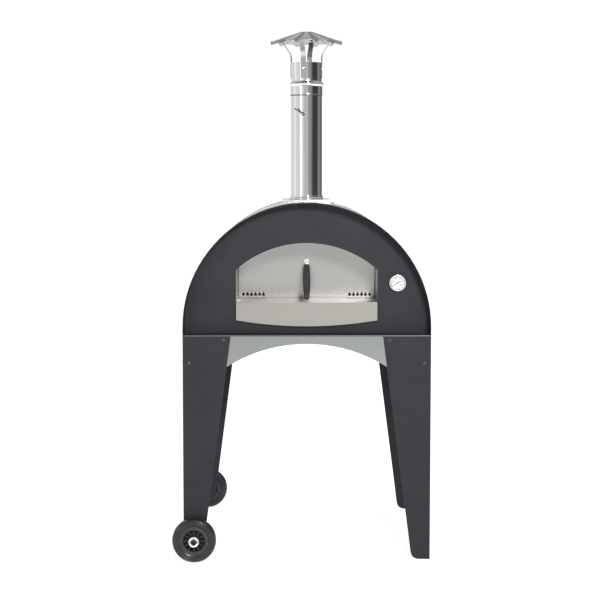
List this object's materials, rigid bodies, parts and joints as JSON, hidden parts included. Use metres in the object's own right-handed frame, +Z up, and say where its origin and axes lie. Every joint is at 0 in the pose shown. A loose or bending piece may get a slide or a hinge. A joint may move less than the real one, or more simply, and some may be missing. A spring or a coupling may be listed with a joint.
{
  "type": "wood fired pizza oven",
  "caption": "Arched outdoor pizza oven with a recessed lift-out door, a capped flue with a damper, a thermometer and a tapered leg stand with wheels at one end.",
  "frame": {"origin": "on the ground, under the middle of the box round the whole object", "axes": "+Z up; -Y is the front, where the mouth opens; -X is the end with the wheels"},
  "size_m": [0.9384, 0.866, 1.939],
  "materials": {
    "black_paint": "fine textured anthracite powder coat",
    "stainless": "satin brushed stainless steel",
    "polished_steel": "mirror polished stainless steel",
    "chrome": "bright plated",
    "zinc": "zinc plated steel",
    "black_steel": "black steel tube",
    "firebrick": "pale fired clay, matt",
    "board": "grey insulating board, matt",
    "fibre": "white ceramic fibre blanket",
    "rubber": "grey-black moulded rubber",
    "nylon": "dark grey moulded plastic",
    "grip": "black satin grip",
    "dial_white": "white printed dial",
    "needle_black": "black",
    "glass": "clear"
  },
  "bodies": {
    "oven": {"axle": "black_steel", "base_tray": "stainless", "cap_tube": "polished_steel", "chamber_front_wall": "stainless", "chamber_rear_wall": "stainless", "chamber_vault": "stainless", "dome_insulation": "fibre", "firebrick_1": "firebrick", "firebrick_2": "firebrick", "firebrick_3": "firebrick", "firebrick_4": "firebrick", "floor_insulation_board": "board", "flue_collar": "polished_steel", "flue_pipe": "polished_steel", "flue_saddle_plate": "stainless", "front_apron": "stainless", "front_axle_washer": "zinc", "front_panel": "black_paint", "hat_strut_1": "polished_steel", "hat_strut_2": "polished_steel", "hat_strut_3": "polished_steel", "hat_strut_4": "polished_steel", "hearth_sill": "stainless", "left_side_skirt": "stainless", "leg_front_left": "black_paint", "leg_front_right": "black_paint", "leg_rear_left": "black_paint", "leg_rear_right": "black_paint", "mouth_tunnel": "stainless", "rain_hat": "polished_steel", "rear_apron": "stainless", "rear_axle_washer": "zinc", "rear_insulation": "fibre", "rear_panel": "stainless", "right_side_skirt": "stainless", "roof_vault": "stainless", "thermometer_bezel": "chrome", "thermometer_case": "chrome", "thermometer_dial": "dial_white", "thermometer_glass": "glass", "thermometer_lock_nut": "zinc", "thermometer_probe": "zinc"},
    "front_wheel": {"front_wheel_bush": "nylon", "front_wheel_rim": "nylon", "front_wheel_tyre": "rubber"},
    "rear_wheel": {"rear_wheel_bush": "nylon", "rear_wheel_rim": "nylon", "rear_wheel_tyre": "rubber"},
    "door": {"door_panel": "stainless", "door_inner_skin": "stainless", "handle_stud": "zinc", "handle_ferrule": "chrome", "handle_grip": "grip"},
    "damper": {"damper_plate": "stainless", "damper_spindle": "zinc", "damper_lever": "zinc"},
    "needle": {"thermometer_needle": "needle_black"}
  },
  "joints": [
    {"name": "front_wheel_spin", "type": "hinge", "parent": "oven", "child": "front_wheel", "pos_m": [-0.38925, -0.3915, 0.08], "axis": [0, 1, 0], "continuous": true},
    {"name": "rear_wheel_spin", "type": "hinge", "parent": "oven", "child": "rear_wheel", "pos_m": [-0.38925, 0.3915, 0.08], "axis": [0, 1, 0], "continuous": true},
    {"name": "door_lift_out", "type": "slide", "parent": "oven", "child": "door", "axis": [0, -1, 0], "range_m": [0, 0.3]},
    {"name": "damper_turn", "type": "hinge", "parent": "oven", "child": "damper", "pos_m": [0.01925, -0.025, 1.628], "axis": [0.2079, 0.9781, 0], "range_deg": [-33, 57]},
    {"name": "thermometer_needle_turn", "type": "hinge", "parent": "oven", "child": "needle", "pos_m": [0.35095, -0.305, 1.0092], "axis": [0, 1, 0], "range_deg": [0, 248]}
  ]
}
